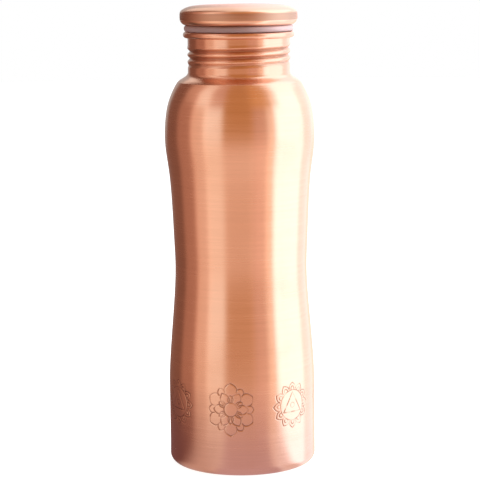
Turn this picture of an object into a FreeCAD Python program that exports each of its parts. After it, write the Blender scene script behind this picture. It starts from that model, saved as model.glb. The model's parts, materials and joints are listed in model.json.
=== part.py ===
import FreeCAD, Part
import math
import os
import Sketcher

# Copper water bottle: a drawn and spun copper flask with a rolled screw thread in its neck,
# a curled lip, a silicone sealing washer and a screw-in cap with a knurled rim.
# Millimetres, +Z up. The origin is the centre of the foot, on the ground plane.

PARTS_FOLDER = "parts"

# Every driving dimension, in millimetres unless the name says otherwise.
DIMENSIONS = {
    # body shell
    "wall": 0.9,
    "base_radius": 37.5,
    "foot_round": 4.5,
    "foot_opening_radius": 31.0,
    "band_top": 42.0,
    "flank_height": 53.7,
    "waist_low_radius": 33.0,
    "waist_low_height": 96.1,
    "waist_high_radius": 34.2,
    "waist_high_height": 111.7,
    "swell_radius": 35.4,
    "swell_height": 149.9,
    "shoulder_low_radius": 38.9,
    "shoulder_low_height": 165.1,
    "shoulder_high_radius": 37.4,
    "shoulder_high_height": 183.5,
    "ledge_radius": 34.55,
    "ledge_height": 190.5,
    "collar_radius": 30.9,
    "collar_height": 198.1,
    "neck_radius": 25.85,
    "throat_height": 198.95,
    "neck_root_height": 201.6,
    # curled lip
    "lip_roll_radius": 1.6,
    "lip_roll_height": 220.0,
    "lip_slit_angle": 105.0,
    # rolled thread, right-hand
    "thread_pitch": 3.5,
    "thread_depth": 1.1,
    "groove_mouth_width": 2.0,
    "groove_floor_width": 0.6,
    "ridge_root_width": 2.6,
    "ridge_crest_width": 1.0,
    "neck_thread_height": 204.65,
    "neck_thread_turns": 2.5,
    "plug_ridge_root_width": 2.2,
    "plug_ridge_crest_width": 0.8,
    "plug_thread_shift": 0.2,
    "plug_thread_turns": 2.0,
    # base disc
    "disc_thickness": 0.8,
    "dish_outer_radius": 29.5,
    "dish_inner_radius": 26.0,
    "dish_rise": 2.4,
    # washer
    "washer_bore_radius": 23.5,
    "washer_outer_radius": 27.8,
    "seat_gap": 0.02,
    # cap
    "cap_underside": 224.7,
    "cap_sheet": 0.8,
    "cap_radius": 29.75,
    "cap_hem_radius": 24.0,
    "cap_lower_round": 3.65,
    "rim_top_height": 229.85,
    "rim_bend_height": 231.65,
    "crown_outer_radius": 28.4,
    "crown_outer_height": 232.8,
    "crown_inner_radius": 23.65,
    "crown_inner_height": 234.9,
    "crown_flat_radius": 14.0,
    "total_height": 235.0,
    # plug
    "plug_radius": 23.45,
    "plug_bottom": 203.5,
    "plug_corner_round": 2.0,
    "plug_flange_radius": 26.0,
}

document = FreeCAD.newDocument("copper_water_bottle")


# ---- spreadsheet of dimensions -------------------------------------------------------------

def make_sheet():
    """One row per driving dimension: its name in column A, its value in column B."""
    sheet = document.addObject("Spreadsheet::Sheet", "Sizes")
    for row, (name, value) in enumerate(DIMENSIONS.items(), start=1):
        sheet.set("A{}".format(row), name)
        sheet.set("B{}".format(row), str(value))
        sheet.setAlias("B{}".format(row), name)
    document.recompute()
    return sheet


SHEET = make_sheet()


def size(formula):
    """Turn a formula in the sheet's names into a FreeCAD expression."""
    words = []
    word = ""
    for letter in formula + " ":
        if letter.isalnum() or letter == "_":
            word += letter
            continue
        words.append("Sizes." + word if word in DIMENSIONS else word)
        words.append(letter)
        word = ""
    return "".join(words).strip()


def value(formula):
    """The present value of a formula in the sheet's names."""
    result = SHEET.evalExpression(size(formula))
    return float(getattr(result, "Value", result))


# ---- sketch outlines -----------------------------------------------------------------------

ORIGIN_POINT = (-1, 1)
VERTICAL_AXIS = -2
START = 1
END = 2
CENTRE = 3


def origin_feature(body, role):
    """The body's own origin plane or axis with this role."""
    return next(f for f in body.Origin.OriginFeatures if f.Role == role)


class Outline:
    """A closed profile in the body's XZ plane, radius across and height up.

    Every corner, spline pole and arc radius is bound to a formula in the sheet.
    """

    def __init__(self, body, name, behind=False):
        self.sketch = body.newObject("Sketcher::SketchObject", name)
        self.sketch.AttachmentSupport = [(origin_feature(body, "XZ_Plane"), "")]
        self.sketch.MapMode = "FlatFace"
        if behind:
            half_turn = FreeCAD.Rotation(FreeCAD.Vector(0, 1, 0), 180)
            self.sketch.AttachmentOffset = FreeCAD.Placement(FreeCAD.Vector(), half_turn)
        self.first = None
        self.first_end = None
        self.last_end = None
        self.corner = None

    def point(self, radius, height):
        return FreeCAD.Vector(value(radius), value(height), 0)

    def bind(self, kind, where, formula):
        """Fix one coordinate of a point, or a radius, to a formula."""
        number = value(formula)
        if kind == "Radius":
            constraint = Sketcher.Constraint(kind, where, number)
        elif kind == "DistanceX" and abs(number) < 1e-9:
            self.sketch.addConstraint(Sketcher.Constraint("PointOnObject", *where, VERTICAL_AXIS))
            return
        else:
            constraint = Sketcher.Constraint(kind, *ORIGIN_POINT, *where, number)
        index = self.sketch.addConstraint(constraint)
        self.sketch.setExpression("Constraints[{}]".format(index), size(formula))

    def bind_point(self, where, corner):
        self.bind("DistanceX", where, corner[0])
        self.bind("DistanceY", where, corner[1])

    def start(self, radius, height):
        self.first = (radius, height)
        self.corner = self.first

    def join(self, begin, end, corner):
        """Tie a new edge to the one before it, and bind its far corner."""
        if self.last_end is None:
            self.first_end = begin
            self.bind_point(begin, self.first)
        else:
            self.sketch.addConstraint(Sketcher.Constraint("Coincident", *self.last_end, *begin))
        if corner == self.first:
            self.sketch.addConstraint(Sketcher.Constraint("Coincident", *end, *self.first_end))
        else:
            self.bind_point(end, corner)
        self.last_end = end
        self.corner = corner

    def line(self, radius, height):
        corner = (radius, height)
        edge = self.sketch.addGeometry(
            Part.LineSegment(self.point(*self.corner), self.point(*corner)), False)
        self.join((edge, START), (edge, END), corner)

    def arc(self, radius, height, centre, bend, clockwise=False):
        """An arc of radius bend round centre, to the corner (radius, height).

        A centre on the bottle's axis is held there, and its corners then set its radius.
        """
        corner = (radius, height)
        middle = self.point(*centre)
        here = self.point(*self.corner) - middle
        there = self.point(*corner) - middle
        angles = [math.atan2(here.y, here.x), math.atan2(there.y, there.x)]
        if clockwise:
            angles.reverse()
        circle = Part.Circle(middle, FreeCAD.Vector(0, 0, 1), value(bend))
        edge = self.sketch.addGeometry(Part.ArcOfCircle(circle, *angles), False)
        ends = [(edge, START), (edge, END)]
        if clockwise:
            ends.reverse()
        self.join(ends[0], ends[1], corner)
        if centre[0] == "0":
            self.bind("DistanceX", (edge, CENTRE), centre[0])
        else:
            self.bind("Radius", edge, bend)

    def spline(self, poles):
        """A cubic B-spline from the present corner, steered by its poles to the last one."""
        corners = [self.corner] + poles
        points = [self.point(*corner) for corner in corners]
        circles = []
        for corner, point in zip(corners, points):
            circle = self.sketch.addGeometry(
                Part.Circle(point, FreeCAD.Vector(0, 0, 1), 1.0), True)
            circles.append(circle)
        self.sketch.addConstraint(Sketcher.Constraint("Weight", circles[0], 1.0))
        for circle in circles[1:]:
            self.sketch.addConstraint(Sketcher.Constraint("Equal", circles[0], circle))
        curve = Part.BSplineCurve(points, None, None, False, 3, None, False)
        edge = self.sketch.addGeometry(curve, False)
        for index, circle in enumerate(circles):
            self.sketch.addConstraint(Sketcher.Constraint(
                "InternalAlignment:Sketcher::BSplineControlPoint", circle, CENTRE, edge, index))
        for circle, corner in zip(circles[1:-1], corners[1:-1]):
            self.bind_point((circle, CENTRE), corner)
        self.join((edge, START), (edge, END), corners[-1])


# ---- features ------------------------------------------------------------------------------

def make_body(label):
    body = document.addObject("PartDesign::Body", label)
    body.Label = label
    body.Placement = FreeCAD.Placement()
    return body


def revolve(body, outline, kind="PartDesign::Revolution"):
    """Turn an outline once round the vertical axis."""
    feature = body.newObject(kind, outline.sketch.Name + "_turned")
    feature.Profile = outline.sketch
    feature.ReferenceAxis = (outline.sketch, ["V_Axis"])
    feature.Angle = 360.0
    document.recompute()
    return feature


def face_at(feature, height):
    """The name of the feature's flat face at this height."""
    level = value(height)
    for number, face in enumerate(feature.Shape.Faces, start=1):
        if abs(face.CenterOfMass.z - level) < 1e-6 and face.Surface.TypeId == "Part::GeomPlane":
            return "Face{}".format(number)
    raise RuntimeError("no flat face at {}".format(height))


def helix(body, outline, kind, turns):
    """Sweep an outline up a right-hand helix round the vertical axis."""
    feature = body.newObject(kind, outline.sketch.Name + "_swept")
    feature.Profile = outline.sketch
    feature.ReferenceAxis = (outline.sketch, ["V_Axis"])
    feature.Mode = "pitch-turns-angle"
    feature.LeftHanded = False
    feature.Reversed = False
    feature.setExpression("Pitch", size("thread_pitch"))
    feature.setExpression("Turns", size(turns))
    document.recompute()
    return feature


def thread_outline(body, name, height, sink_radius, root, tip):
    """A thread section, root and tip each a (radius, width).

    The section runs straight on from its root to sink_radius, inside or clear of the wall.
    """
    outline = Outline(body, name, behind=True)
    low_root = (root[0], "{} - {} / 2".format(height, root[1]))
    high_root = (root[0], "{} + {} / 2".format(height, root[1]))
    low_tip = (tip[0], "{} - {} / 2".format(height, tip[1]))
    high_tip = (tip[0], "{} + {} / 2".format(height, tip[1]))
    outline.start(*low_tip)
    outline.line(*low_root)
    outline.line(sink_radius, low_root[1])
    outline.line(sink_radius, high_root[1])
    outline.line(*high_root)
    outline.line(*high_tip)
    outline.line(*low_tip)
    return outline


# ---- the pieces ----------------------------------------------------------------------------

def make_body_shell():
    """The drawn copper flask: foot, waist, shoulder, threaded neck and curled lip."""
    body = make_body("body_shell")

    outer = Outline(body, "flask_outline")
    outer.start("0", "0")
    outer.line("base_radius - foot_round", "0")
    outer.arc("base_radius", "foot_round", ("base_radius - foot_round", "foot_round"), "foot_round")
    outer.line("base_radius", "band_top")
    outer.spline([
        ("base_radius", "flank_height"),
        ("waist_low_radius", "waist_low_height"),
        ("waist_high_radius", "waist_high_height"),
        ("swell_radius", "swell_height"),
        ("shoulder_low_radius", "shoulder_low_height"),
        ("shoulder_high_radius", "shoulder_high_height"),
        ("ledge_radius", "ledge_height"),
        ("collar_radius", "collar_height"),
        ("neck_radius", "throat_height"),
        ("neck_radius", "neck_root_height"),
    ])
    outer.line("neck_radius", "lip_roll_height")
    outer.line("0", "lip_roll_height")
    outer.line("0", "0")
    flask = revolve(body, outer)

    # Hollow the flask from its open top, leaving the sheet's thickness inside the outline.
    hollow = body.newObject("PartDesign::Thickness", "sheet_wall")
    hollow.Base = (flask, [face_at(flask, "lip_roll_height")])
    hollow.Mode = "Skin"
    hollow.Join = "Intersection"
    hollow.Reversed = True
    hollow.setExpression("Value", size("wall"))
    document.recompute()

    # The foot is turned in only as far as a narrow flange, so the bottom is open inside it.
    opening = Outline(body, "foot_opening_outline")
    opening.start("0", "-wall")
    opening.line("foot_opening_radius", "-wall")
    opening.line("foot_opening_radius", "2 * wall")
    opening.line("0", "2 * wall")
    opening.line("0", "-wall")
    revolve(body, opening, "PartDesign::Groove")

    # The mouth's edge is curled outward and back under itself, leaving a slit beside the neck.
    curl = Outline(body, "lip_outline")
    middle = ("neck_radius - wall + lip_roll_radius", "lip_roll_height")
    curl.start("neck_radius - wall", "lip_roll_height")
    curl.arc(middle[0] + " + lip_roll_radius * cos(lip_slit_angle)",
             middle[1] + " - lip_roll_radius * sin(lip_slit_angle)",
             middle, "lip_roll_radius", clockwise=True)
    curl.line(middle[0] + " + (lip_roll_radius - wall) * cos(lip_slit_angle)",
              middle[1] + " - (lip_roll_radius - wall) * sin(lip_slit_angle)")
    curl.arc("neck_radius", "lip_roll_height", middle, "lip_roll_radius - wall")
    curl.line("neck_radius - wall", "lip_roll_height")
    revolve(body, curl)

    # The thread is rolled inward: a ridge inside the neck and a groove outside it.
    ridge = thread_outline(
        body, "neck_ridge_outline", "neck_thread_height", "neck_radius - wall / 2",
        ("neck_radius - wall", "ridge_root_width"),
        ("neck_radius - wall - thread_depth", "ridge_crest_width"))
    helix(body, ridge, "PartDesign::AdditiveHelix", "neck_thread_turns")
    groove = thread_outline(
        body, "neck_groove_outline", "neck_thread_height", "neck_radius + wall / 2",
        ("neck_radius", "groove_mouth_width"),
        ("neck_radius - thread_depth", "groove_floor_width"))
    helix(body, groove, "PartDesign::SubtractiveHelix", "neck_thread_turns")
    return body


def make_base_disc():
    """The pressed bottom, brazed on the foot's flange, its middle pushed up into the flask."""
    body = make_body("base_disc")
    section = Outline(body, "disc_outline")
    section.start("0", "wall + dish_rise")
    section.line("dish_inner_radius", "wall + dish_rise")
    section.line("dish_outer_radius", "wall")
    section.line("base_radius - foot_round", "wall")
    section.line("base_radius - foot_round", "wall + disc_thickness")
    section.line("dish_outer_radius + disc_thickness / 3", "wall + disc_thickness")
    section.line("dish_inner_radius + disc_thickness / 3", "wall + dish_rise + disc_thickness")
    section.line("0", "wall + dish_rise + disc_thickness")
    section.line("0", "wall + dish_rise")
    revolve(body, section)
    return body


def make_cap_gasket():
    """The silicone washer under the cap, its rim bulged between the cap and the lip."""
    body = make_body("cap_gasket")
    low = "lip_roll_height + lip_roll_radius + seat_gap"
    high = "cap_underside - seat_gap"
    half = "(cap_underside - lip_roll_height - lip_roll_radius) / 2 - seat_gap"
    middle = "(cap_underside + lip_roll_height + lip_roll_radius) / 2"
    edge = "washer_outer_radius - ({})".format(half)
    section = Outline(body, "washer_outline")
    section.start("washer_bore_radius", low)
    section.line(edge, low)
    section.arc("washer_outer_radius", middle, (edge, middle), half)
    section.arc(edge, high, (edge, middle), half)
    section.line("washer_bore_radius", high)
    section.line("washer_bore_radius", low)
    revolve(body, section)
    return body


def make_cap_cover():
    """The domed cap: one drawn sheet, its lower edge hemmed in under the plug's flange."""
    body = make_body("cap_cover")
    lower = ("cap_radius - cap_lower_round", "cap_underside + cap_lower_round")
    section = Outline(body, "cover_outline")
    section.start("cap_hem_radius", "cap_underside")
    section.line(lower[0], "cap_underside")
    section.arc("cap_radius", lower[1], lower, "cap_lower_round")
    section.line("cap_radius", "rim_top_height")
    section.spline([
        ("cap_radius", "rim_bend_height"),
        ("crown_outer_radius", "crown_outer_height"),
        ("crown_inner_radius", "crown_inner_height"),
        ("crown_flat_radius", "total_height"),
        ("0", "total_height"),
    ])
    section.line("0", "total_height - cap_sheet")
    section.spline([
        ("crown_flat_radius", "total_height - cap_sheet"),
        ("crown_inner_radius - 0.25 * cap_sheet", "crown_inner_height - cap_sheet"),
        ("crown_outer_radius - 0.75 * cap_sheet", "crown_outer_height - 0.8 * cap_sheet"),
        ("cap_radius - cap_sheet", "rim_bend_height - 0.4 * cap_sheet"),
        ("cap_radius - cap_sheet", "rim_top_height"),
    ])
    section.line("cap_radius - cap_sheet", lower[1])
    section.arc(lower[0], "cap_underside + cap_sheet", lower,
                "cap_lower_round - cap_sheet", clockwise=True)
    section.line("cap_hem_radius", "cap_underside + cap_sheet")
    section.line("cap_hem_radius", "cap_underside")
    revolve(body, section)
    return body


def make_cap_plug():
    """The threaded cup that screws into the neck, its flange held by the cover's hem."""
    body = make_body("cap_plug")
    flange_low = "cap_underside + cap_sheet"
    flange_high = "cap_underside + 2 * cap_sheet"
    corner = ("plug_radius - plug_corner_round", "plug_bottom + plug_corner_round")
    section = Outline(body, "cup_outline")
    section.start("0", "plug_bottom")
    section.line(corner[0], "plug_bottom")
    section.arc("plug_radius", corner[1], corner, "plug_corner_round")
    section.line("plug_radius", flange_low)
    section.line("plug_flange_radius", flange_low)
    section.line("plug_flange_radius", flange_high)
    section.line("plug_radius - cap_sheet", flange_high)
    section.line("plug_radius - cap_sheet", corner[1])
    section.arc(corner[0], "plug_bottom + cap_sheet", corner,
                "plug_corner_round - cap_sheet", clockwise=True)
    section.line("0", "plug_bottom + cap_sheet")
    section.line("0", "plug_bottom")
    revolve(body, section)

    ridge = thread_outline(
        body, "plug_ridge_outline", "neck_thread_height + thread_pitch / 2 + plug_thread_shift",
        "plug_radius - cap_sheet / 2",
        ("plug_radius", "plug_ridge_root_width"),
        ("plug_radius + thread_depth", "plug_ridge_crest_width"))
    helix(body, ridge, "PartDesign::AdditiveHelix", "plug_thread_turns")
    return body


# ---- build, check and write ----------------------------------------------------------------

def check_document():
    """Stop if any object of the document failed to build."""
    for item in document.Objects:
        if "Invalid" in item.State or "Error" in item.State:
            raise RuntimeError("{} failed: {}".format(item.Name, item.State))


def write_part(body):
    """Check one piece and write it to its own STEP file."""
    shape = body.Shape
    if shape.isNull() or not shape.isValid() or len(shape.Solids) != 1:
        raise RuntimeError("{} has no sound solid".format(body.Label))
    shape.exportStep(os.path.join(PARTS_FOLDER, body.Label + ".step"))
    box = shape.BoundBox
    print("{:12s} volume {:9.1f} mm3, height {:7.2f} to {:7.2f}, radius {:6.2f}".format(
        body.Label, shape.Volume, box.ZMin, box.ZMax, box.XMax))


pieces = [
    make_body_shell(),
    make_base_disc(),
    make_cap_gasket(),
    make_cap_cover(),
    make_cap_plug(),
]
document.recompute()
check_document()
os.makedirs(PARTS_FOLDER, exist_ok=True)
for piece in pieces:
    write_part(piece)
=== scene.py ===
import json
import math

import bpy
import numpy as np
from mathutils import Matrix, Vector


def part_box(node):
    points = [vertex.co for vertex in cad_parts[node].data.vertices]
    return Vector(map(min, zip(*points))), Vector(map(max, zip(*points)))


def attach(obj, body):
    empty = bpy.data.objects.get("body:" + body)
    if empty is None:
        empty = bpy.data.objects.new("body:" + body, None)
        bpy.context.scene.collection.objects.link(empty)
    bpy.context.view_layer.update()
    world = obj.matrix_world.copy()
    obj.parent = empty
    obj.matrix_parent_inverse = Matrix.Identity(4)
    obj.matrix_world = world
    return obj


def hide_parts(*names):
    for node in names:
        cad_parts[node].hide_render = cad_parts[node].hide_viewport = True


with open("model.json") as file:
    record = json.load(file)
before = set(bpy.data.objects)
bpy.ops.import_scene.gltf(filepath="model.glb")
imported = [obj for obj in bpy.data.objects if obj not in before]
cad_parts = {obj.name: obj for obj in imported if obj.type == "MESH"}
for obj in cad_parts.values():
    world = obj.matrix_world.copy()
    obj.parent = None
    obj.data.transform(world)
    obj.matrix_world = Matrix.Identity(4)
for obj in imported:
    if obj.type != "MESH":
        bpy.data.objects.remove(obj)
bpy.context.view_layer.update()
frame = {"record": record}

# The looks of a copper water bottle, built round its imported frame.
# Lengths are in millimetres until a mesh is made, and the axis of the bottle is Z.

MM = 0.001
TURN = 2 * math.pi


# ---- sizes, from the frame -----------------------------------------------------------------

def box_mm(node):
    low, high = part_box(node)
    return low / MM, high / MM


def record_mount(name):
    return next(m for m in frame["record"]["mounts"] if m["name"] == name)


shell_low, shell_high = box_mm("body_shell")
disc_low, disc_high = box_mm("base_disc")
washer_low, washer_high = box_mm("cap_gasket")
cover_low, cover_high = box_mm("cap_cover")
plug_low, plug_high = box_mm("cap_plug")

BASE_RADIUS = record_mount("cup_holder_band")["dims"]["r_mm"]
PITCH = frame["record"]["behaviour"]["couplings"][0]["ratio"] * TURN / MM

# body shell
WALL = 0.9
FOOT_ROUND = 4.5
FOOT_OPENING = 31.0
FLANK_POLES = [
    (BASE_RADIUS, 42.0),
    (BASE_RADIUS, 53.7),
    (33.0, 96.1),
    (34.2, 111.7),
    (35.4, 149.9),
    (38.9, 165.1),
    (37.4, 183.5),
    (34.55, 190.5),
    (30.9, 198.1),
    (25.85, 198.95),
    (25.85, 201.6),
]
NECK_RADIUS = FLANK_POLES[-1][0]
BAND_TOP = FLANK_POLES[0][1]
SPUN_EDGE_HEIGHT = 196.2
SPUN_EDGE_PROUD = 0.18
SPUN_EDGE_WIDTH = 0.7
WAVER_STARTS = (3.0, 9.0)
WAVER_ENDS = (190.0, 198.0)
SHOULDER_INSIDE = 202.4
LIP_ROLL = 1.6
LIP_HEIGHT = shell_high.z - LIP_ROLL
LIP_SLIT = math.radians(105)

# rolled thread
THREAD_START = 204.65
THREAD_TURNS = 2.5
THREAD_DEPTH = 1.1
THREAD_CREST = 0.2
THREAD_MOUTH = 1.5
THREAD_RUN_IN = 0.6
# painted shade in the rolled thread's grooves, as a share of the cut brown
THREAD_PAINTED_SHADE = 0.55
THREAD_STEP = 0.14
PLUG_THREAD_START = 206.6
PLUG_THREAD_TURNS = 2.0
PLUG_THREAD_TOP = 216.6

# engraved band
ROSETTE_COUNT = 7
ROSETTE_HEIGHT = 34.8
ROSETTE_REACH = 14.4
ROSETTE_FIRST = math.radians(-90 - 9.1)
ENGRAVING_DEPTH = 0.16
ENGRAVING_HALF_WIDTH = 0.23
ENGRAVED_FROM = 19.0
ENGRAVED_TO = 50.6

# base disc
DISH_HEIGHT = 2.4
DISH_INNER = 26.0
DISH_OUTER = 29.5
DISH_BEND_TOP = 0.72
DISH_BEND_FOOT = 0.28

# washer
GASKET_BORE = 23.5
GASKET_CORNER = 0.3
PARTING_LINE = 0.05

# cap cover
CAP_SHEET = 0.8
HEM_EDGE = 24.0
HEM_ROUND = 3.65
RIM_TOP = 229.85
CROWN_POLES = [
    (29.75, RIM_TOP),
    (29.75, 231.65),
    (28.4, 232.8),
    (23.65, 234.9),
    (14.0, 235.0),
    (0.0, 235.0),
]
CROWN_INNER_POLES = [
    (28.95, RIM_TOP),
    (28.95, 231.33),
    (27.8, 232.16),
    (23.45, 234.1),
    (14.0, 234.2),
    (0.0, 234.2),
]
KNURLS = 155
KNURL_LOW = 227.2
KNURL_HIGH = 231.45
KNURL_HEIGHT = 1.55
KNURL_DEPTH = 0.14
# painted shade in the knurl's grooves, as a share of the cut brown
KNURL_PAINTED_SHADE = 1.0
KNURL_STEP = 0.15

# cap plug
PLUG_RADIUS = 23.45
PLUG_ROUND = 2.0
PLUG_FLANGE = 225.5

# studio
FLOOR_RADIUS = 3.0
FLOOR_GLOW = 0.9
FLOOR_BOUNCE = 0.15
WINDOW_PLACE = (900.0, 80.0, 420.0)
WINDOW_SIZE = 500.0
WINDOW_WATTS = 20.0
PICTURE = 480
SENSOR = 36.0
FOCAL_PIXELS = 1884.0
CAMERA_PLACE = (-0.4, -955.0, 260.0)
CAMERA_AIM = (-0.4, 0.0, 115.0)
CAMERA_ROLL = 0.58

# mesh fineness, in columns round the bottle and millimetres between rows
COLUMNS = 288
ENGRAVED_COLUMNS = 4 * COLUMNS
ENGRAVED_STEP = 0.2
CAP_COLUMNS = 2 * KNURLS
KNURL_COLUMNS = 8 * KNURLS


# ---- curves in the section plane, (radius, height) -----------------------------------------

def bspline(poles, count):
    """Points along the clamped cubic B-spline with evenly spaced knots."""
    poles = np.array(poles, float)
    spans = len(poles) - 3
    knots = np.concatenate([np.zeros(3), np.linspace(0, 1, spans + 1), np.ones(3)])
    points = []
    for t in np.linspace(0, 1, count):
        span = min(int(t * spans), spans - 1) + 3
        near = poles[span - 3:span + 1].copy()
        for level in range(1, 4):
            for j in range(3, level - 1, -1):
                left = knots[j + span - 3]
                right = knots[j + 1 + span - level]
                share = (t - left) / (right - left)
                near[j] = (1 - share) * near[j - 1] + share * near[j]
        points.append(near[3])
    return np.array(points)


def arc(middle, radius, start, stop, count):
    """Points on a circle from angle start to stop, in radians, both ends included."""
    angles = np.linspace(start, stop, count)
    return np.stack([middle[0] + radius * np.cos(angles),
                     middle[1] + radius * np.sin(angles)], axis=1)


def line(start, stop, step):
    """Points from start to stop, no more than step apart."""
    start, stop = np.array(start, float), np.array(stop, float)
    count = max(2, int(math.ceil(np.linalg.norm(stop - start) / step)) + 1)
    return start + (stop - start) * np.linspace(0, 1, count)[:, None]


def path(*stretches):
    """Stretches joined end to end, without the points that repeat."""
    points = [stretches[0]]
    for stretch in stretches[1:]:
        same = np.linalg.norm(points[-1][-1] - stretch[0]) < 1e-6
        points.append(stretch[1:] if same else stretch)
    return np.concatenate(points)


def smoothstep(low, high, x):
    t = np.clip((x - low) / (high - low), 0, 1)
    return t * t * (3 - 2 * t)


# ---- lathe: meshes made ring by ring -------------------------------------------------------

class Lathe:
    """A surface of revolution. Rings may differ in columns, and a ring's points may wander."""

    def __init__(self):
        self.points = []
        self.faces = []
        self.along = []
        self.count = 0
        self.length = 0.0
        self.corner = None
        self.first = None
        self.last = None

    def angles(self, columns):
        return np.arange(columns) * TURN / columns

    def ring(self, radius, height, columns):
        angle = self.angles(columns)
        radius = np.broadcast_to(radius, columns)
        height = np.broadcast_to(height, columns)
        self.points.append(np.stack(
            [radius * np.cos(angle), radius * np.sin(angle), height], axis=1))
        self.measure(np.mean(radius), np.mean(height), columns)
        ring = (self.count, columns)
        self.count += columns
        if self.last is None:
            self.first = ring
        else:
            self.join(self.last, ring)
        self.last = ring

    def measure(self, radius, height, columns):
        """Keep the length along the section, which the brushed finish follows."""
        corner = np.array([radius, height])
        if self.corner is not None:
            self.length += np.linalg.norm(corner - self.corner)
        self.corner = corner
        self.along.append(np.full(columns, self.length))

    def join(self, low, high):
        """Faces between two rings, whose columns are equal or a whole multiple."""
        if low[1] == high[1]:
            here = np.arange(low[1])
            there = (here + 1) % low[1]
            self.faces += np.stack([low[0] + here, low[0] + there,
                                    high[0] + there, high[0] + here], axis=1).tolist()
            return
        coarse, fine = (low, high) if low[1] < high[1] else (high, low)
        ratio = fine[1] // coarse[1]
        for i in range(coarse[1]):
            corner = coarse[0] + i
            after = coarse[0] + (i + 1) % coarse[1]
            row = [fine[0] + (i * ratio + k) % fine[1] for k in range(ratio + 1)]
            half = ratio // 2
            fan = [[corner, row[k], row[k + 1]] for k in range(half)]
            fan.append([corner, row[half], after])
            fan += [[after, row[k], row[k + 1]] for k in range(half, ratio)]
            for face in fan:
                self.faces.append(face if coarse is high else face[::-1])

    def pole(self, height, at_start=False):
        """Close the first or the last ring with a fan to one point on the axis."""
        ring = self.first if at_start else self.last
        self.points.append(np.array([[0.0, 0.0, height]]))
        self.along.append(np.full(1, 0.0 if at_start else self.length))
        tip = self.count
        self.count += 1
        for i in range(ring[1]):
            here, there = ring[0] + i, ring[0] + (i + 1) % ring[1]
            self.faces.append([there, here, tip] if at_start else [here, there, tip])

    def close(self):
        self.join(self.last, self.first)

    def piece(self, name, material, body, node):
        """Make the object, let it ride on its body and stand for its CAD node."""
        mesh = bpy.data.meshes.new(name)
        mesh.from_pydata((np.concatenate(self.points) * MM).tolist(), [], self.faces)
        mesh.validate()
        mesh.polygons.foreach_set("use_smooth", [True] * len(mesh.polygons))
        mesh.update()
        obj = bpy.data.objects.new(name, mesh)
        bpy.context.scene.collection.objects.link(obj)
        mesh.materials.append(material)
        add_attribute(obj, "along", np.concatenate(self.along) * MM)
        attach(obj, body)
        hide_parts(node)
        return obj


def add_attribute(obj, name, values):
    attribute = obj.data.attributes.new(name, "FLOAT", "POINT")
    attribute.data.foreach_set("value", np.asarray(values, np.float32))


# ---- rosettes: strokes in a flat frame, x to the right and y up ----------------------------

def polar(radius, angle):
    return np.array([radius * math.sin(angle), radius * math.cos(angle)])


def bezier(a, b, c, count=10):
    """A quadratic curve from a to c, drawn towards b."""
    t = np.linspace(0, 1, count)[:, None]
    return (1 - t) ** 2 * a + 2 * t * (1 - t) * b + t ** 2 * c


def circle(radius, count=48):
    return np.array([polar(radius, TURN * k / count) for k in range(count + 1)])


def petals(count, root, tip, spread, shoulder, turned=0.0):
    """A ring of pointed petals. Spread is half a petal's share of its sector, at its root."""
    strokes = []
    half = math.pi / count * spread
    for k in range(count):
        middle = TURN * (k + turned) / count
        for side in (-1, 1):
            strokes.append(bezier(polar(root, middle + side * half),
                                  polar(tip * shoulder, middle + side * half * 1.12),
                                  polar(tip, middle)))
    return strokes


def polygon(sides, radius, turned=0.0):
    corners = [polar(radius, TURN * (k + turned) / sides) for k in range(sides + 1)]
    return [np.array([a, b]) for a, b in zip(corners, corners[1:])]


def lotus(count):
    """Two layers of broad petals round a small plain ring."""
    return (petals(count, 9.3, 13.4, 0.62, 0.93)
            + petals(count, 9.6, 12.2, 0.36, 0.95, turned=0.5)
            + petals(count, 4.2, 9.4, 0.80, 0.86, turned=0.5)
            + petals(count, 3.9, 7.2, 0.55, 0.90)
            + [circle(3.6)])


def ringed(count, sides, turned=0.0):
    """A ring of small pointed petals round a circle with a plain polygon in it."""
    return (petals(count, 8.6, 11.7, 0.92, 0.88)
            + petals(count, 8.0, 9.9, 0.45, 0.95)
            + [circle(7.8)]
            + polygon(sides, 6.8, turned)
            + [circle(1.3, 20)])


def narrowed(strokes, share=0.94):
    return [stroke * np.array([share, 1.0]) for stroke in strokes]


ROSETTES = [
    narrowed(lotus(6)),
    ringed(12, 3),
    narrowed(lotus(8)),
    ringed(16, 4, turned=0.5),
    ringed(10, 6),
    narrowed(lotus(5)),
    ringed(12, 3),
]


def stroke_distance(x, y, strokes):
    """The distance of each point (x, y) to the nearest stroke."""
    nearest = np.full(len(x), 1e9)
    for stroke in strokes:
        for (ax, ay), (bx, by) in zip(stroke, stroke[1:]):
            ex, ey = bx - ax, by - ay
            share = ((x - ax) * ex + (y - ay) * ey) / (ex * ex + ey * ey)
            share = np.clip(share, 0, 1)
            gap = np.hypot(x - ax - share * ex, y - ay - share * ey)
            np.minimum(nearest, gap, out=nearest)
    return nearest


def engraving_depth(angle, height):
    """How deep the band is engraved at each point, 0 to 1."""
    cut = np.zeros(len(angle))
    for k, strokes in enumerate(ROSETTES):
        middle = ROSETTE_FIRST + TURN * k / ROSETTE_COUNT
        x = (angle - middle + math.pi) % TURN - math.pi
        x = x * BASE_RADIUS
        y = height - ROSETTE_HEIGHT
        near = np.hypot(x, y) < ROSETTE_REACH
        gap = stroke_distance(x[near], y[near], strokes)
        cut[near] = np.maximum(cut[near], np.exp(-(gap / ENGRAVING_HALF_WIDTH) ** 2))
    return cut * engraving_wear(angle * BASE_RADIUS, height)


def engraving_wear(x, y):
    """What years of polishing leave of the engraving at each point, as a share of its depth."""
    patches = (np.sin(x / 1.9 + 2.1 * np.sin(y / 3.1)) * np.sin(y / 1.6 + 1.7 * np.sin(x / 4.3))
               + 0.5 * np.sin(x / 0.8 + y / 1.1))
    return 0.35 + 0.65 * smoothstep(-0.75, 0.35, patches)


# ---- rolled thread -------------------------------------------------------------------------

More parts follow.
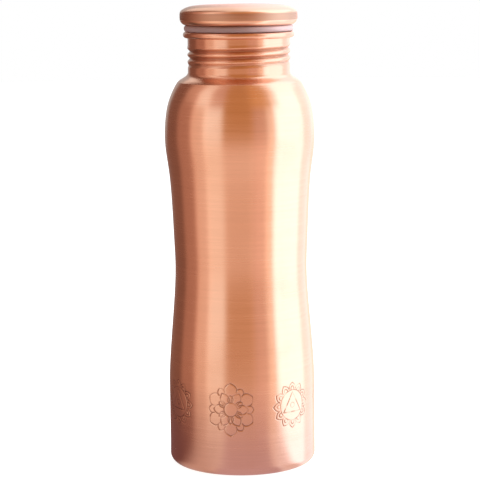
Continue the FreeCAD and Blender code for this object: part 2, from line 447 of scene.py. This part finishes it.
def thread_place(angle, height, start, turns):
    """The turn each point is nearest to, its distance from it and how far the thread is there.

    The thread is right-hand and climbs from the -X side."""
    share = ((angle - math.pi) % TURN) / TURN
    turn = np.round((height - start) / PITCH - share) + share
    gap = np.abs(height - start - turn * PITCH)
    fade = smoothstep(-0.16, 0.10, turn) * (1 - smoothstep(turns - 0.06, turns + 0.20, turn))
    return turn, gap, fade


def thread_depth(angle, height, start, turns, floor, mouth):
    """A rounded thread, 0 to 1, flat on top as far as floor and gone at mouth from its middle."""
    _, gap, fade = thread_place(angle, height, start, turns)
    return (1 - smoothstep(floor, mouth, gap)) * fade


def neck_groove(angle, height):
    """The groove rolled into the neck, 0 to 1: rounded beads with a sharp valley between."""
    turn, gap, fade = thread_place(angle, height, THREAD_START, THREAD_TURNS)
    run_in = THREAD_RUN_IN + (1 - THREAD_RUN_IN) * smoothstep(0.3, 0.7, turn)
    return (1 - np.sin(math.pi / 2 * np.clip(gap / THREAD_MOUTH, 0, 1))) ** 0.8 * fade * run_in


def hand_waver(angle, height):
    """The slight out-of-roundness that spinning by hand leaves, in millimetres, all inwards."""
    return (0.030 * np.sin(2 * angle + height / 31.0)
            + 0.016 * np.sin(3 * angle - height / 17.0 + 1.3)
            + 0.010 * np.sin(5 * angle + height / 9.0 + 0.4)) - 0.056


# ---- the pieces ----------------------------------------------------------------------------

def make_body_shell(material):
    """The flask's sheet as one closed surface, outside, round the curled lip and inside."""
    lathe = Lathe()
    foot = (BASE_RADIUS - FOOT_ROUND, FOOT_ROUND)
    curl = (NECK_RADIUS - WALL + LIP_ROLL, LIP_HEIGHT)
    flank = bspline(FLANK_POLES, 260)
    spun_edge = SPUN_EDGE_PROUD * np.exp(-np.abs(flank[:, 1] - SPUN_EDGE_HEIGHT) / SPUN_EDGE_WIDTH)
    flank = flank + spun_edge[:, None] * np.array([0.7, 0.7])

    def outside(height_rows, columns):
        for radius, height in height_rows:
            angle = lathe.angles(columns)
            easing = smoothstep(*WAVER_STARTS, height) * (1 - smoothstep(*WAVER_ENDS, height))
            lathe.ring(radius + easing * hand_waver(angle, height), height, columns)

    # foot and the band below the engraving
    outside(path(line((FOOT_OPENING, 0.25), (FOOT_OPENING + 0.25, 0), 0.15),
                 line((FOOT_OPENING + 0.25, 0), (foot[0], 0), 0.5),
                 arc(foot, FOOT_ROUND, -math.pi / 2, 0, 22),
                 line((BASE_RADIUS, FOOT_ROUND), (BASE_RADIUS, ENGRAVED_FROM - 0.5), 1.2)),
            COLUMNS)

    # engraved band
    cuts = []
    band_start = lathe.count
    angle = lathe.angles(ENGRAVED_COLUMNS)
    upper = flank[flank[:, 1] > BAND_TOP]
    for height in np.arange(ENGRAVED_FROM, ENGRAVED_TO, ENGRAVED_STEP):
        radius = BASE_RADIUS if height <= BAND_TOP else np.interp(height, upper[:, 1], upper[:, 0])
        cut = engraving_depth(angle, np.full(len(angle), height))
        cuts.append(cut)
        lathe.ring(radius + hand_waver(angle, height) - ENGRAVING_DEPTH * cut,
                   height, ENGRAVED_COLUMNS)
    band_end = lathe.count

    # waist, shoulder and neck root
    outside(flank[flank[:, 1] > ENGRAVED_TO][:-1], COLUMNS)

    # neck, with the thread rolled into it
    neck_start = lathe.count
    grooves = []
    angle = lathe.angles(COLUMNS)
    for height in np.arange(FLANK_POLES[-1][1], LIP_HEIGHT, THREAD_STEP):
        groove = neck_groove(angle, height)
        crest = thread_depth(angle, height, THREAD_START + PITCH / 2, THREAD_TURNS, 0, 1.2)
        # the thread's grooves get painted shade, darkest where the groove is deepest
        grooves.append(THREAD_PAINTED_SHADE * groove)
        lathe.ring(NECK_RADIUS + THREAD_CREST * crest - THREAD_DEPTH * groove, height, COLUMNS)
    neck_end = lathe.count

    # lip: out over the hidden inside of the curl, round its edge and back over its outside
    lip = path(arc(curl, LIP_ROLL - WALL, math.pi, -LIP_SLIT, 18),
               arc(curl, LIP_ROLL, -LIP_SLIT, math.pi, 44))
    for radius, height in lip:
        lathe.ring(radius, height, COLUMNS)

    # inside of the neck, down
    for height in np.arange(LIP_HEIGHT - 0.3, SHOULDER_INSIDE, -0.3):
        ridge = thread_depth(angle, height, THREAD_START, THREAD_TURNS, 0.1, 1.8)
        lathe.ring(NECK_RADIUS - WALL - THREAD_DEPTH * ridge, height, COLUMNS)

    # inside of the shoulder and waist: the outside curve moved in by the wall
    tangent = np.gradient(flank, axis=0)
    tangent /= np.linalg.norm(tangent, axis=1)[:, None]
    inner = flank + WALL * np.stack([-tangent[:, 1], tangent[:, 0]], axis=1)
    for radius, height in inner[::-2]:
        lathe.ring(radius, height, COLUMNS)
    for radius, height in path(
            line((BASE_RADIUS - WALL, BAND_TOP), (BASE_RADIUS - WALL, FOOT_ROUND), 4.0),
            arc(foot, FOOT_ROUND - WALL, 0, -math.pi / 2, 10),
            line((foot[0], WALL), (FOOT_OPENING, WALL), 1.0)):
        lathe.ring(radius, height, COLUMNS)
    lathe.close()

    obj = lathe.piece("body_shell_skin", material, "bottle", "body_shell")
    cut = np.zeros(lathe.count)
    cut[band_start:band_end] = np.concatenate(cuts)
    cut[neck_start:neck_end] = np.concatenate(grooves)
    add_attribute(obj, "cut", cut)
    return obj


def make_base_disc(material):
    """The dished disc that closes the foot."""
    lathe = Lathe()
    sheet = disc_high.z - disc_low.z - DISH_HEIGHT
    low, roof = disc_low.z, disc_low.z + DISH_HEIGHT
    bend_top = (DISH_INNER + 1.0, low + DISH_HEIGHT * DISH_BEND_TOP)
    bend_foot = (DISH_OUTER - 1.0, low + DISH_HEIGHT * DISH_BEND_FOOT)
    under = path(line((0.5, roof), (DISH_INNER - 1.5, roof), 1.5),
                 bend((DISH_INNER - 1.5, roof), (DISH_INNER, roof), bend_top, 8),
                 line(bend_top, bend_foot, 0.5),
                 bend(bend_foot, (DISH_OUTER, low), (DISH_OUTER + 1.5, low), 8),
                 line((DISH_OUTER + 1.5, low), (disc_high.x, low), 1.0))
    over = under[::-1] + np.array([0, sheet])
    for radius, height in np.concatenate([under, over]):
        lathe.ring(radius, height, COLUMNS // 2)
    lathe.pole(under[0][1], at_start=True)
    lathe.pole(over[-1][1])
    return lathe.piece("base_disc_skin", material, "bottle", "base_disc")


def make_cap_gasket(material):
    """The silicone washer: a moulded ring with a rounded rim and a faint parting line."""
    lathe = Lathe()
    bore = GASKET_BORE
    low, high = washer_low.z, washer_high.z
    rim = (high - low) / 2
    middle = (washer_high.x - rim, low + rim)
    edge = arc(middle, rim, -math.pi / 2, math.pi / 2, 41)
    edge[:, 0] = middle[0] + rim * (np.maximum(edge[:, 0] - middle[0], 0) / rim) ** 0.72
    edge[:, 0] -= PARTING_LINE * np.exp(-((edge[:, 1] - middle[1]) / 0.12) ** 2)
    corner = bore + GASKET_CORNER
    section = path(line((corner, low), (middle[0], low), 0.6), edge,
                   line((middle[0], high), (corner, high), 0.6),
                   arc((corner, high - GASKET_CORNER), GASKET_CORNER, math.pi / 2, math.pi, 6),
                   line((bore, high - GASKET_CORNER), (bore, low + GASKET_CORNER), 0.6),
                   arc((corner, low + GASKET_CORNER), GASKET_CORNER, math.pi, 1.5 * math.pi, 6)[:-1])
    angle = lathe.angles(COLUMNS)
    for radius, height in section:
        soft = 0.05 * np.sin(3 * angle + 1.0) + 0.03 * np.sin(7 * angle)
        outward = np.clip((radius - middle[0]) / rim, 0, 1)
        lathe.ring(radius - 0.08 * outward + soft * outward, height, COLUMNS)
    lathe.close()
    return lathe.piece("cap_gasket_skin", material, "washer", "cap_gasket")


def make_cap_cover(material):
    """The pressed cover: a low crown, a knurled rim and a hem turned in under the plug's flange."""
    lathe = Lathe()
    rim = cover_high.x
    hem_low = cover_low.z
    belly = (rim - HEM_ROUND, hem_low + HEM_ROUND)
    crown = bspline(CROWN_POLES, 120)
    inside = bspline(CROWN_INNER_POLES, 30)

    def plain(section):
        for radius, height in section:
            lathe.ring(radius, height, CAP_COLUMNS)

    plain(inside[-2::-1])
    lathe.pole(inside[-1][1], at_start=True)
    plain(path(line((rim - CAP_SHEET, RIM_TOP - 0.3), (rim - CAP_SHEET, belly[1]), 0.8),
               arc(belly, HEM_ROUND - CAP_SHEET, 0, -math.pi / 2, 12),
               line((belly[0], hem_low + CAP_SHEET), (HEM_EDGE + 0.2, hem_low + CAP_SHEET), 1.0),
               arc((HEM_EDGE + CAP_SHEET / 2, hem_low + CAP_SHEET / 2), CAP_SHEET / 2,
                   math.pi / 2, 1.5 * math.pi, 8),
               line((HEM_EDGE + CAP_SHEET / 2, hem_low), (belly[0], hem_low), 1.0)))

    # outside, up to the knurl
    below = math.asin((KNURL_LOW - belly[1]) / HEM_ROUND)
    plain(arc(belly, HEM_ROUND, -math.pi / 2, below, 26)[1:-1])

    # knurled rim, measured along the section from the foot of the knurl
    knurled = even(path(arc(belly, HEM_ROUND, below, 0, 9), line(belly + np.array([HEM_ROUND, 0]),
                   (rim, RIM_TOP), 0.2), crown[crown[:, 1] < KNURL_HIGH]), KNURL_STEP)
    normal = outward_normals(knurled)
    along = np.arange(len(knurled)) * KNURL_STEP
    angle = lathe.angles(KNURL_COLUMNS)
    cuts = []
    start = lathe.count
    for (radius, height), (out, up), s in zip(knurled, normal, along):
        cut = knurl(angle, s)
        cut *= smoothstep(0, 0.5, s) * (1 - smoothstep(along[-1] - 0.35, along[-1], s))
        cuts.append(cut)
        lathe.ring(radius - KNURL_DEPTH * cut * out, height - KNURL_DEPTH * cut * up, KNURL_COLUMNS)
    stop = lathe.count

    plain(crown[crown[:, 1] >= KNURL_HIGH + 0.1][:-1])
    lathe.pole(crown[-1][1])
    obj = lathe.piece("cap_cover_skin", material, "cap", "cap_cover")
    pattern = np.zeros(lathe.count)
    # the knurl's grooves get painted shade, carried in the cut attribute
    pattern[start:stop] = KNURL_PAINTED_SHADE * smoothstep(0.15, 0.75, np.concatenate(cuts))
    add_attribute(obj, "cut", pattern)
    return obj


def even(section, step):
    """The same curve with points evenly spaced along it."""
    along = np.concatenate([[0], np.cumsum(np.linalg.norm(np.diff(section, axis=0), axis=1))])
    places = np.arange(0, along[-1], step)
    return np.stack([np.interp(places, along, section[:, 0]),
                     np.interp(places, along, section[:, 1])], axis=1)


def knurl(angle, along):
    """Two crossed sets of rounded grooves: 1 at the bottom of a groove, 0 on top of a knurl."""
    round_rim = angle * KNURLS / TURN
    up_rim = along / KNURL_HEIGHT

    def groove(x):
        return 0.5 + 0.5 * np.cos(TURN * x)

    return 0.5 * groove(round_rim + up_rim) + 0.5 * groove(round_rim - up_rim)


def outward_normals(section):
    tangent = np.gradient(section, axis=0)
    tangent /= np.linalg.norm(tangent, axis=1)[:, None]
    return np.stack([tangent[:, 1], -tangent[:, 0]], axis=1)


def bend(a, b, c, count):
    return bezier(np.array(a, float), np.array(b, float), np.array(c, float), count)


def make_cap_plug(material):
    """The hollow plug: a cup with a rolled thread and a flange under the cover."""
    lathe = Lathe()
    wall = plug_high.z - PLUG_FLANGE
    inner = PLUG_RADIUS - wall
    low, top = plug_low.z, plug_high.z
    corner = (PLUG_RADIUS - PLUG_ROUND, low + PLUG_ROUND)

    def plain(section):
        for radius, height in section:
            lathe.ring(radius, height, COLUMNS)

    plain(path(line((0.5, low), (corner[0], low), 1.5),
               arc(corner, PLUG_ROUND, -math.pi / 2, 0, 12)[:-1]))
    lathe.pole(low, at_start=True)
    angle = lathe.angles(COLUMNS)
    for height in np.arange(corner[1], PLUG_THREAD_TOP, 0.15):
        ridge = thread_depth(angle, height, PLUG_THREAD_START, PLUG_THREAD_TURNS, 0.1, 1.2)
        lathe.ring(PLUG_RADIUS + THREAD_DEPTH * ridge, height, COLUMNS)
    flange = plug_high.x
    plain(path(line((PLUG_RADIUS, PLUG_THREAD_TOP + 0.4), (PLUG_RADIUS, PLUG_FLANGE - 0.3), 1.0),
               line((PLUG_RADIUS + 0.3, PLUG_FLANGE), (flange - 0.2, PLUG_FLANGE), 0.6),
               line((flange, PLUG_FLANGE + 0.2), (flange, top - 0.2), 0.4),
               line((flange - 0.2, top), (inner + 0.5, top), 0.6),
               arc((inner + 0.5, top - 0.5), 0.5, math.pi / 2, math.pi, 6)[1:],
               line((inner, top - 1.0), (inner, corner[1]), 1.2),
               arc(corner, PLUG_ROUND - wall, 0, -math.pi / 2, 8),
               line((corner[0], low + wall), (0.5, low + wall), 1.5)))
    lathe.pole(low + wall)
    return lathe.piece("cap_plug_skin", material, "cap", "cap_plug")


# ---- materials -----------------------------------------------------------------------------

class Nodes:
    """A short way to write a node tree: calls make nodes and return their first output."""

    def __init__(self, tree):
        self.tree = tree
        tree.nodes.clear()

    def node(self, kind, inputs=(), **settings):
        made = self.tree.nodes.new(kind)
        for name, value in settings.items():
            setattr(made, name, value)
        for key, value in dict(inputs).items():
            self.put(made.inputs[key], value)
        return made

    def put(self, socket, value):
        if isinstance(value, bpy.types.NodeSocket):
            self.tree.links.new(value, socket)
        elif isinstance(value, bpy.types.Node):
            self.tree.links.new(value.outputs[0], socket)
        else:
            socket.default_value = value

    def math(self, operation, *values, clamp=False):
        made = self.node("ShaderNodeMath", operation=operation, use_clamp=clamp)
        for socket, value in zip(made.inputs, values):
            self.put(socket, value)
        return made.outputs[0]

    def remap(self, value, low, high, to_low=0.0, to_high=1.0, smooth=False):
        made = self.node("ShaderNodeMapRange", {
            "Value": value, "From Min": low, "From Max": high, "To Min": to_low, "To Max": to_high,
        }, interpolation_type="SMOOTHSTEP" if smooth else "LINEAR")
        return made.outputs[0]

    def blend(self, share, a, b, kind="MIX"):
        made = self.node("ShaderNodeMix", data_type="RGBA", blend_type=kind)
        self.put(made.inputs["Factor"], share)
        self.put(made.inputs["A"], a)
        self.put(made.inputs["B"], b)
        return made.outputs["Result"]

    def noise(self, vector, scale, detail=2.0, roughness=0.5):
        made = self.node("ShaderNodeTexNoise", {
            "Vector": vector, "Scale": scale, "Detail": detail, "Roughness": roughness,
        })
        return made.outputs["Fac"]

    def attribute(self, name):
        return self.node("ShaderNodeAttribute", attribute_name=name).outputs["Fac"]


def rgba(red, green, blue):
    return (red, green, blue, 1.0)


def new_material(name):
    material = bpy.data.materials.new(name)
    material.use_nodes = True
    return material, Nodes(material.node_tree)


def brushed_vector(nodes, round_scale, along_scale):
    """Coordinates that run slowly round the axis and fast along the section, per metre."""
    spot = nodes.node("ShaderNodeTexCoord").outputs["Object"]
    parts = nodes.node("ShaderNodeSeparateXYZ", {"Vector": spot})
    return nodes.node("ShaderNodeCombineXYZ", {
        "X": nodes.math("MULTIPLY", parts.outputs["X"], round_scale),
        "Y": nodes.math("MULTIPLY", parts.outputs["Y"], round_scale),
        "Z": nodes.math("MULTIPLY", nodes.attribute("along"), along_scale),
    }).outputs[0]


def copper(name, colour, roughness, streaks=1.0, tints=()):
    """Brushed copper: fine hairlines round the axis, clouds of tarnish, brown in the cuts, which in
    the thread and knurl grooves is painted shade, and tints by height.
    """
    material, nodes = new_material(name)
    spot = nodes.node("ShaderNodeTexCoord").outputs["Object"]
    hairlines = nodes.noise(brushed_vector(nodes, 45.0, 3200.0), 1.0, 3.0, 0.6)
    bands = nodes.noise(brushed_vector(nodes, 12.0, 620.0), 1.0, 3.0, 0.55)
    clouds = nodes.noise(spot, 34.0, 4.0, 0.55)

    height = nodes.node("ShaderNodeSeparateXYZ", {"Vector": spot}).outputs["Z"]
    # each tint multiplies the colour between two heights; near the foot this is a painted reflection
    # of the pale floor
    for start, stop, tint in tints:
        share = nodes.remap(height, start * MM, stop * MM, smooth=True)
        colour = nodes.blend(share, colour, nodes.blend(1.0, colour, tint, "MULTIPLY"))
    streak = nodes.math("ADD", nodes.math("MULTIPLY", hairlines, 0.6),
                        nodes.math("MULTIPLY", bands, 0.4))
    light = nodes.remap(streak, 0.30, 0.70, 1.0 - 0.06 * streaks, 1.0 + 0.05 * streaks)
    tone = nodes.node("ShaderNodeCombineXYZ", {"X": light, "Y": light, "Z": light}).outputs[0]
    shade = nodes.blend(1.0, colour, tone, "MULTIPLY")
    tarnish = nodes.remap(clouds, 0.48, 0.80, 0.0, 0.30, smooth=True)
    shade = nodes.blend(tarnish, shade, nodes.blend(1.0, colour, rgba(0.86, 0.74, 0.66), "MULTIPLY"))
    # brown in the engraved lines; in the thread and knurl grooves this brown is painted shade
    cut = nodes.math("MULTIPLY", nodes.attribute("cut"), 0.85)
    shade = nodes.blend(cut, shade, rgba(0.24, 0.10, 0.06))

    rough = nodes.remap(streak, 0.30, 0.70, roughness - 0.03 * streaks, roughness + 0.04 * streaks)
    rough = nodes.math("ADD", rough, nodes.math("MULTIPLY", cut, 0.18))
    rough = nodes.math("ADD", rough, nodes.math("MULTIPLY", tarnish, 0.15))
    bump = nodes.node("ShaderNodeBump", {
        "Strength": 0.22 * streaks, "Distance": 0.02 * MM, "Height": streak,
    })
    tangent = nodes.node("ShaderNodeTangent", direction_type="RADIAL", axis="Z")
    surface = nodes.node("ShaderNodeBsdfPrincipled", {
        "Base Color": shade, "Metallic": 1.0, "Roughness": rough, "Normal": bump,
        "Anisotropic": 0.65, "Anisotropic Rotation": 0.25, "Tangent": tangent,
    })
    nodes.node("ShaderNodeOutputMaterial", {"Surface": surface})
    return material


def silicone(name):
    """Milky silicone: light passes a little way in, with faint clouds and specks of dust."""
    material, nodes = new_material(name)
    spot = nodes.node("ShaderNodeTexCoord").outputs["Object"]
    clouds = nodes.noise(spot, 160.0, 3.0)
    dust = nodes.remap(nodes.noise(spot, 1500.0, 2.0), 0.70, 0.80, 0.0, 0.25)
    milk = nodes.blend(clouds, rgba(0.42, 0.27, 0.26), rgba(0.50, 0.34, 0.33))
    milk = nodes.blend(dust, milk, rgba(0.90, 0.86, 0.84))
    bump = nodes.node("ShaderNodeBump", {
        "Strength": 0.2, "Distance": 0.03 * MM, "Height": nodes.noise(spot, 900.0, 4.0),
    })
    surface = nodes.node("ShaderNodeBsdfPrincipled", {
        "Base Color": milk, "Roughness": nodes.remap(clouds, 0.3, 0.7, 0.38, 0.50),
        "IOR": 1.55, "Subsurface Weight": 0.45, "Subsurface Radius": (0.8, 0.5, 0.45),
        "Subsurface Scale": 1.2 * MM, "Transmission Weight": 0.25, "Normal": bump,
    })
    nodes.node("ShaderNodeOutputMaterial", {"Surface": surface})
    return material


# ---- studio --------------------------------------------------------------------------------

# The tones that the room is painted in, darkest first.
SHADOW = (0.10, 0.06, 0.05)
BROWN = (0.25, 0.13, 0.10)
RUST = (0.50, 0.28, 0.22)
EMBER = (0.60, 0.33, 0.15)
GREY = (0.50, 0.50, 0.50)
CLAY = (0.75, 0.50, 0.42)
AMBER = (0.80, 0.46, 0.20)
PEACH = (0.95, 0.72, 0.62)
BUFF = (1.10, 0.80, 0.70)
LINEN = (1.15, 1.00, 0.90)
PAPER = (1.20, 1.20, 1.20)
CREAM = (1.40, 1.15, 1.00)
HAZE = (1.40, 1.60, 1.80)
BLUSH = (2.00, 1.50, 1.50)
DAYLIGHT = (1.90, 2.30, 2.70)

# The room in upright sectors: middle azimuth, half width and edge in degrees, then its tone near
# the floor, on the table, across the room and high up. Azimuth 0 is the camera's side and 90 is
# to its right, where the window is.
SECTORS = [
    ("back_left", -165, 15, 6, GREY, BROWN, GREY, PAPER),
    ("dark_corner", -131, 19, 6, SHADOW, BROWN, BROWN, BROWN),
    ("left_wall", -95, 17, 6, CLAY, RUST, RUST, CLAY),
    ("strip_left", -68, 12, 6, LINEN, PEACH, PEACH, PAPER),
    ("strip", -42, 15, 5, LINEN, LINEN, PAPER, CLAY),
    ("front", -3, 24, 4, LINEN, PEACH, EMBER, EMBER),
    ("front_right", 32, 11, 6, LINEN, BUFF, CLAY, AMBER),
    ("glow", 50, 7, 5, CREAM, CREAM, LINEN, AMBER),
    ("window_edge", 64, 7, 4, DAYLIGHT, DAYLIGHT, DAYLIGHT, LINEN),
    ("window", 93, 22, 5, HAZE, DAYLIGHT, DAYLIGHT, DAYLIGHT),
    ("window_back", 132, 17, 6, HAZE, HAZE, HAZE, DAYLIGHT),
    ("backdrop", 164, 16, 6, CREAM, CREAM, BLUSH, HAZE),
]
OVERHEAD = (0.80, 0.76, 0.70)
LEVEL_EDGES = [(-35.0, -25.0), (-10.0, -2.0), (20.0, 30.0)]
OVERHEAD_EDGE = (71.0, 81.0)

# What the metal sees in the floor close to the foot, as painted light: the floor's painted shade and
# copper-tinted glow there, with the bottle's painted shadow in the left patch. Each gives middle
# azimuth, half width, edge, colour.
NEAR_FLOOR = [
    ("front", 5, 33, 8, (0.7, 0.55, 0.6)),
    ("glow", 46, 11, 7, (1.0, 0.9, 0.9)),
    ("strip", -48, 22, 12, (0.7, 0.55, 0.5)),
    # the bottle's painted shadow on the floor, as the metal sees it
    ("left", -106, 40, 22, (0.2, 0.1, 0.1)),
]
NEAR_FLOOR_FADE = (70.0, 260.0)


def direction_angles(nodes, direction):
    """The azimuth and elevation of a direction, in degrees."""
    parts = nodes.node("ShaderNodeSeparateXYZ", {"Vector": direction})
    forward = nodes.math("MULTIPLY", parts.outputs["Y"], -1.0)
    azimuth = nodes.math("DEGREES", nodes.math("ARCTAN2", parts.outputs["X"], forward))
    return azimuth, nodes.math("DEGREES", nodes.math("ARCSINE", parts.outputs["Z"]))


def window(nodes, angle, middle, half, edge):
    """1 within half of the middle angle and 0 outside it, with a soft edge."""
    gap = nodes.math("WRAP", nodes.math("SUBTRACT", angle, middle), 180.0, -180.0)
    return nodes.remap(nodes.math("ABSOLUTE", gap), half - edge, half + edge, 1.0, 0.0, smooth=True)


def make_world():
    """A soft studio: a white surround to the camera, and the sectors to everything else."""
    world = bpy.data.worlds.new("studio")
    world.use_nodes = True
    bpy.context.scene.world = world
    nodes = Nodes(world.node_tree)
    direction = nodes.node("ShaderNodeTexCoord").outputs["Generated"]
    azimuth, elevation = direction_angles(nodes, direction)
    above = [nodes.remap(elevation, *edges, smooth=True) for edges in LEVEL_EDGES]
    total = rgba(0, 0, 0)
    for _, middle, half, edge, lowest, *higher in SECTORS:
        light = rgba(*lowest)
        for share, tone in zip(above, higher):
            light = nodes.blend(share, light, rgba(*tone))
        share = window(nodes, azimuth, middle, half, edge)
        total = nodes.blend(share, total, nodes.blend(1.0, total, light, "ADD"))
    total = nodes.blend(nodes.remap(elevation, *OVERHEAD_EDGE, smooth=True), total, rgba(*OVERHEAD))
    seen = nodes.node("ShaderNodeLightPath").outputs["Is Camera Ray"]
    lit = nodes.node("ShaderNodeBackground", {"Color": nodes.blend(seen, total, rgba(1, 1, 1))})
    nodes.node("ShaderNodeOutputWorld", {"Surface": lit})


def mixed(nodes, share, a, b):
    made = nodes.node("ShaderNodeMixShader", {0: share})
    nodes.put(made.inputs[1], a)
    nodes.put(made.inputs[2], b)
    return made


def make_floor():
    """A pale round floor, which isn't part of the object."""
    mesh = bpy.data.meshes.new("floor")
    rim = [(FLOOR_RADIUS * math.cos(TURN * k / 64), FLOOR_RADIUS * math.sin(TURN * k / 64), 0)
           for k in range(64)]
    mesh.from_pydata(rim, [], [list(range(64))])
    floor = bpy.data.objects.new("floor", mesh)
    bpy.context.scene.collection.objects.link(floor)
    mesh.materials.append(floor_material())


def floor_material():
    """Matt paper that glows a little to the camera. The metal sees only the patches of painted light
    and shadow by the foot.
    """
    material, nodes = new_material("pale_floor")
    spot = nodes.node("ShaderNodeTexCoord").outputs["Object"]
    grain = nodes.remap(nodes.noise(spot, 300.0, 3.0), 0.3, 0.7, 0.38, 0.42)
    paper = nodes.node("ShaderNodeCombineXYZ", {"X": grain, "Y": grain, "Z": grain}).outputs[0]
    matt = nodes.node("ShaderNodeBsdfDiffuse", {"Color": paper})
    rays = nodes.node("ShaderNodeLightPath")
    glow = nodes.node("ShaderNodeEmission", {
        "Color": rgba(1, 1, 1),
        "Strength": nodes.remap(rays.outputs["Is Camera Ray"], 0, 1, FLOOR_BOUNCE, FLOOR_GLOW),
    })
    both = nodes.node("ShaderNodeAddShader")
    nodes.put(both.inputs[0], matt)
    nodes.put(both.inputs[1], glow)
    reflected = rays.outputs["Is Glossy Ray"]
    surface = mixed(nodes, reflected, both, reflected_floor(nodes, spot))
    nodes.node("ShaderNodeOutputMaterial", {"Surface": surface})
    return material


def reflected_floor(nodes, spot):
    """The patches of painted light and shadow close to the foot, which fade into the clear: the room
    shows beyond them.
    """
    azimuth, _ = direction_angles(nodes, spot)
    radius = nodes.node("ShaderNodeVectorMath", {0: spot}, operation="LENGTH").outputs["Value"]
    near = nodes.remap(radius, *(r * MM for r in NEAR_FLOOR_FADE), 1.0, 0.0, smooth=True)
    seen = nodes.node("ShaderNodeBsdfTransparent")
    for _, middle, half, edge, colour in NEAR_FLOOR:
        share = nodes.math("MULTIPLY", near, window(nodes, azimuth, middle, half, edge))
        patch = nodes.node("ShaderNodeEmission", {"Color": rgba(*colour)})
        seen = mixed(nodes, share, seen, patch)
    return seen


def make_window():
    """A soft light from the window's side. It only falls on matt things, the washer and floor."""
    lamp = bpy.data.lights.new("window_light", "AREA")
    lamp.size = WINDOW_SIZE * MM
    lamp.energy = WINDOW_WATTS
    window_light = bpy.data.objects.new("window_light", lamp)
    bpy.context.scene.collection.objects.link(window_light)
    place = Vector(WINDOW_PLACE) * MM
    aim = Vector(CAMERA_AIM) * MM
    turn = (place - aim).to_track_quat("Z", "Y").to_matrix().to_4x4()
    window_light.matrix_world = Matrix.Translation(place) @ turn
    window_light.visible_glossy = False


def make_camera():
    """The photograph's viewpoint: a long lens a little above the cap, rolled slightly."""
    lens = bpy.data.cameras.new("camera")
    lens.sensor_width = SENSOR
    lens.lens = FOCAL_PIXELS * SENSOR / PICTURE
    camera = bpy.data.objects.new("camera", lens)
    bpy.context.scene.collection.objects.link(camera)
    aim = Vector(CAMERA_AIM) * MM
    place = Vector(CAMERA_PLACE) * MM
    turn = (place - aim).to_track_quat("Z", "Y").to_matrix().to_4x4()
    roll = Matrix.Rotation(math.radians(-CAMERA_ROLL), 4, "Z")
    camera.matrix_world = Matrix.Translation(place) @ turn @ roll
    bpy.context.scene.camera = camera


# ---- the scene -----------------------------------------------------------------------------

# The body is tinted pinker towards the foot, a painted reflection of the pale floor, and darker and
# redder from the shoulder up.
copper_body = copper("body_copper_brushed", rgba(0.82, 0.47, 0.32), 0.24,
                     tints=[(50, 0, rgba(0.94, 0.93, 1.02)), (188, 202, rgba(0.94, 0.88, 0.86))])
copper_cap = copper("cap_copper_brushed", rgba(0.80, 0.45, 0.30), 0.24, streaks=0.6)
copper_plug = copper("plug_copper_plain", rgba(0.76, 0.42, 0.28), 0.36, streaks=0.5)
washer_silicone = silicone("silicone_milky")

make_body_shell(copper_body)
make_base_disc(copper_body)
make_cap_gasket(washer_silicone)
make_cap_cover(copper_cap)
make_cap_plug(copper_plug)

make_world()
make_floor()
make_window()
make_camera()
bpy.context.scene.view_settings.view_transform = "Standard"
